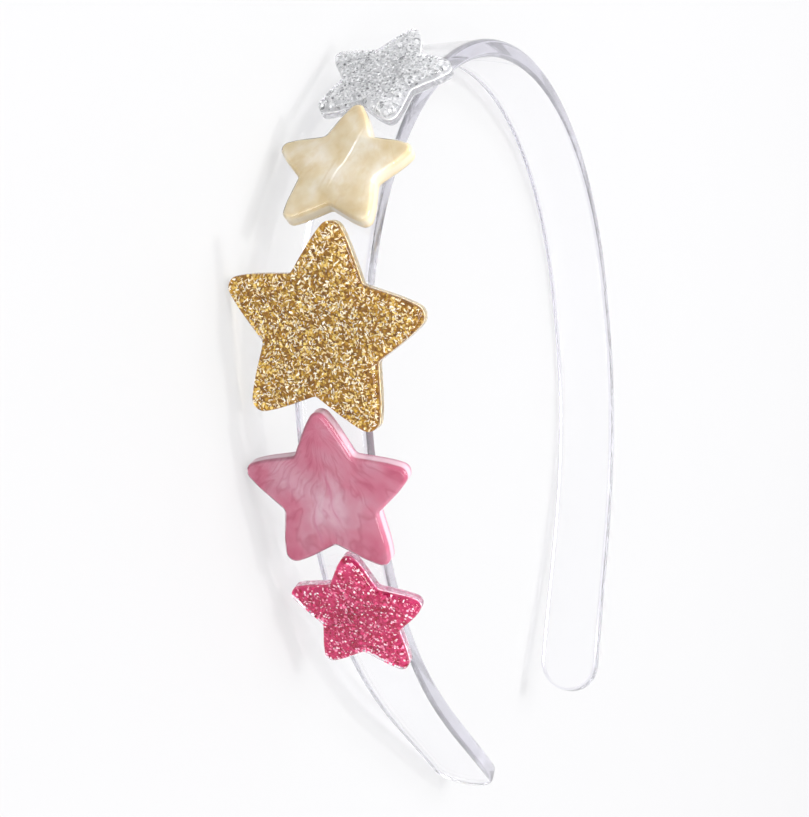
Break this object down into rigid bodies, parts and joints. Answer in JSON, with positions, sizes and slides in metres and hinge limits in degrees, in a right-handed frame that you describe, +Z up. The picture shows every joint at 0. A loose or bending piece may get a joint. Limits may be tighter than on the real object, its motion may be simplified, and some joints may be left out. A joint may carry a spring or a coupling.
{
  "type": "star headband",
  "caption": "Clear plastic arch headband that springs over the head, with flat glossy resin stars in graded sizes glued nose to tail down one leg.",
  "frame": {"origin": "middle of the footprint, on the surface that the headband lies on", "axes": "+Z up from the surface that the headband lies on, +Y from the open ends of the legs towards the crown of the arch, +X towards the bare leg, so that the stars face -X"},
  "size_m": [0.1302, 0.1536, 0.0336],
  "materials": {
    "clear_plastic": "clear, polished",
    "silver_glitter_resin": "clear resin full of silver glitter, glossy",
    "cream_pearl_resin": "cream pearl resin, glossy",
    "gold_glitter_resin": "clear resin full of gold glitter flakes, glossy",
    "pink_pearl_resin": "swirled pink pearl resin, glossy",
    "hot_pink_glitter_resin": "translucent hot pink resin with glitter, glossy"
  },
  "bodies": {
    "root": {"headband": "clear_plastic", "star_silver_glitter": "silver_glitter_resin", "star_cream_pearl": "cream_pearl_resin", "star_gold_glitter": "gold_glitter_resin", "star_pink_pearl": "pink_pearl_resin", "star_hot_pink_glitter": "hot_pink_glitter_resin"}
  },
  "joints": []
}
